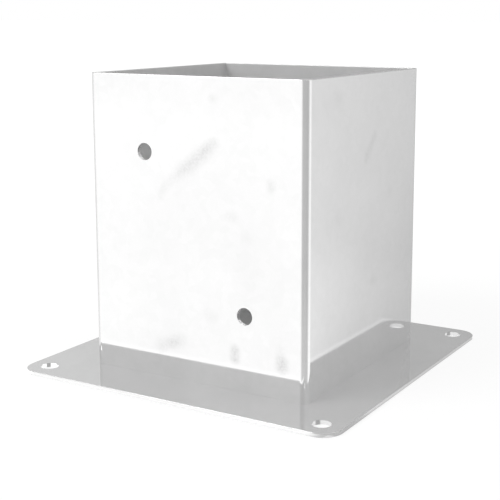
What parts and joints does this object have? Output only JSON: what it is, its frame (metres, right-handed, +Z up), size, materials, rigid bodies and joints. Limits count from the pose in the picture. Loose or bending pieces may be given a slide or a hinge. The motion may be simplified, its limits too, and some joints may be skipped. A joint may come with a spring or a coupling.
{
  "type": "timber post base",
  "caption": "Bolt-down steel socket for the foot of a square timber post: an open-topped square sleeve of folded sheet, welded to a flat square base plate with corner bolt holes.",
  "frame": {"origin": "centre of the base plate's underside", "axes": "+Z up, from the base plate to the sleeve's open top; -Y is the front, a wall with two screw holes; +X is a plain wall"},
  "size_m": [0.18, 0.18, 0.152],
  "materials": {
    "sleeve_zinc": "bright zinc coating, glossy, with faint handling marks",
    "plate_zinc": "bright zinc coating, glossy",
    "weld_zinc": "zinc coated weld bead, rippled"
  },
  "bodies": {
    "root": {"base_plate": "plate_zinc", "sleeve": "sleeve_zinc", "corner_seam_weld": "weld_zinc", "fillet_weld_front_left": "weld_zinc", "fillet_weld_front_right": "weld_zinc", "fillet_weld_right_front": "weld_zinc", "fillet_weld_right_back": "weld_zinc", "fillet_weld_back_right": "weld_zinc", "fillet_weld_back_left": "weld_zinc", "fillet_weld_left_back": "weld_zinc", "fillet_weld_left_front": "weld_zinc"}
  },
  "joints": []
}
